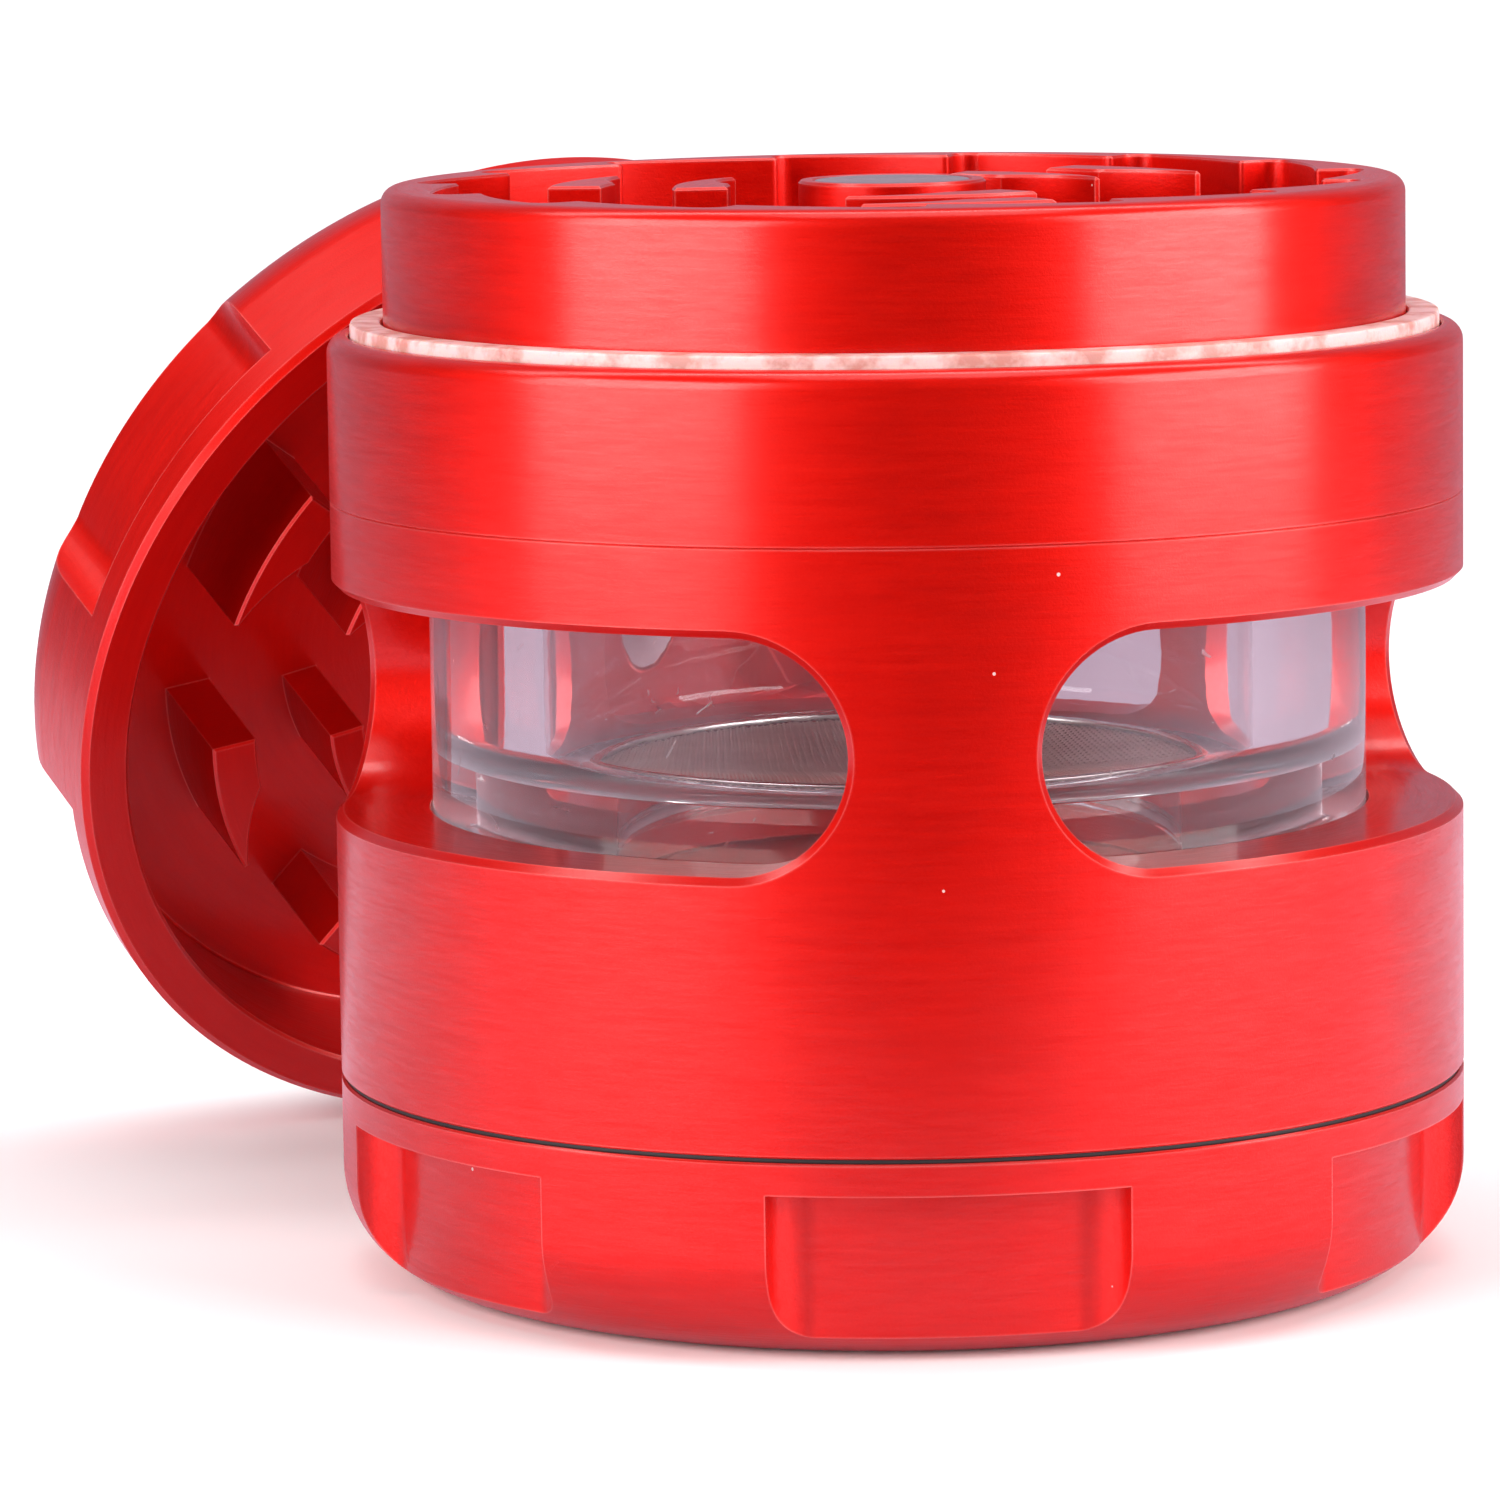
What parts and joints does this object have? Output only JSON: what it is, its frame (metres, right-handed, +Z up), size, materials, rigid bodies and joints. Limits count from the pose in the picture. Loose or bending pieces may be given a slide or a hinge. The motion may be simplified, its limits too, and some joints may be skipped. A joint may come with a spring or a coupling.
{
  "type": "herb grinder",
  "caption": "Round aluminium herb grinder: threaded base cup, windowed chamber with a clear insert and screen, toothed plate, and a toothed lid leaning beside it.",
  "frame": {"origin": "centre of the base cup's flat foot, on the surface it stands on", "axes": "+Z up the stack's axis; -Y is the front, where a grip dimple and a pillar between two windows face"},
  "size_m": [0.081, 0.0953, 0.0606],
  "materials": {
    "red_anodised": "satin anodised",
    "black_rubber": "matt",
    "clear_silicone": "satin",
    "clear_glass": "polished",
    "screen_wire": "woven",
    "bright_steel": "satin",
    "nickel": "polished",
    "nylon": "satin"
  },
  "bodies": {
    "base": {"base_cup": "red_anodised"},
    "base_lead": {"base_washer": "black_rubber"},
    "chamber": {"window_housing": "red_anodised", "lower_seal": "clear_silicone", "clear_insert": "clear_glass", "screen": "screen_wire", "screen_ring": "bright_steel", "upper_seal": "clear_silicone"},
    "collar_lead": {"collar_washer": "black_rubber"},
    "plate": {"grinding_plate": "red_anodised", "plate_magnet": "nickel"},
    "slip": {"slip_ring": "nylon"},
    "lid_carrier": {"lid_magnet": "nickel"},
    "lid": {"lid": "red_anodised"}
  },
  "joints": [
    {"name": "base_thread_lead", "type": "slide", "parent": "base", "child": "base_lead", "axis": [0, 0, 1], "range_m": [0, 0.0015]},
    {"name": "base_thread", "type": "hinge", "parent": "base_lead", "child": "chamber", "pos_m": [0, 0, 0.0113], "axis": [0, 0, 1], "range_deg": [0, 540]},
    {"name": "plate_thread_lead", "type": "slide", "parent": "chamber", "child": "collar_lead", "axis": [0, 0, 1], "range_m": [0, 0.0015]},
    {"name": "plate_thread", "type": "hinge", "parent": "collar_lead", "child": "plate", "pos_m": [0, 0, 0.0433], "axis": [0, 0, 1], "range_deg": [0, 540]},
    {"name": "slip_ring_turn", "type": "hinge", "parent": "plate", "child": "slip", "pos_m": [0, 0, 0.0525], "axis": [0, 0, 1], "continuous": true},
    {"name": "lid_lift", "type": "slide", "parent": "base", "child": "lid_carrier", "axis": [0, 0, 1], "range_m": [0, 0.08]},
    {"name": "lid_turn", "type": "hinge", "parent": "lid_carrier", "child": "lid", "pos_m": [-0.0173, 0.038, 0.0287], "axis": [0.3826, -0.8319, -0.4019], "continuous": true}
  ],
  "couplings": [
    {"joint": "base_thread_lead", "follows": "base_thread", "m_per_rad": 0.00015915},
    {"joint": "plate_thread_lead", "follows": "plate_thread", "m_per_rad": 0.00015915}
  ]
}
